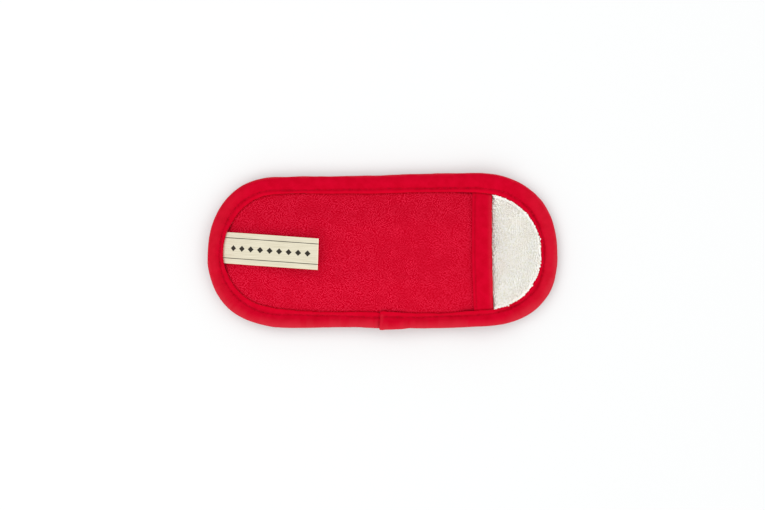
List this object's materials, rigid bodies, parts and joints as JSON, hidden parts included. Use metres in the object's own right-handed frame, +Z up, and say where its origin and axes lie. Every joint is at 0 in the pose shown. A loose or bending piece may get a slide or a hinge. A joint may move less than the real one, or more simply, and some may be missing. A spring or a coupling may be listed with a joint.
{
  "type": "hot handle holder",
  "caption": "Flat oval cloth pocket with a padded back, terry lining, bound edge and bound mouth, which slips over a hot pan handle.",
  "frame": {"origin": "centre of the holder's footprint, on the surface that it lies on", "axes": "+X along the holder towards the pocket's mouth, +Y across it, +Z up through the front panel"},
  "size_m": [0.17, 0.0759, 0.015],
  "materials": {
    "woven_red": "matt plain-woven cotton with fine slubs",
    "binding_red": "smooth, finely woven cotton binding",
    "terry": "white cotton terry with short loops",
    "label_tape": "cream woven tape with a faint sheen"
  },
  "bodies": {
    "root": {"back_panel": "woven_red", "lining": "terry", "front_panel": "woven_red", "mouth_band": "binding_red", "edge_binding": "binding_red", "label": "label_tape"}
  },
  "joints": []
}
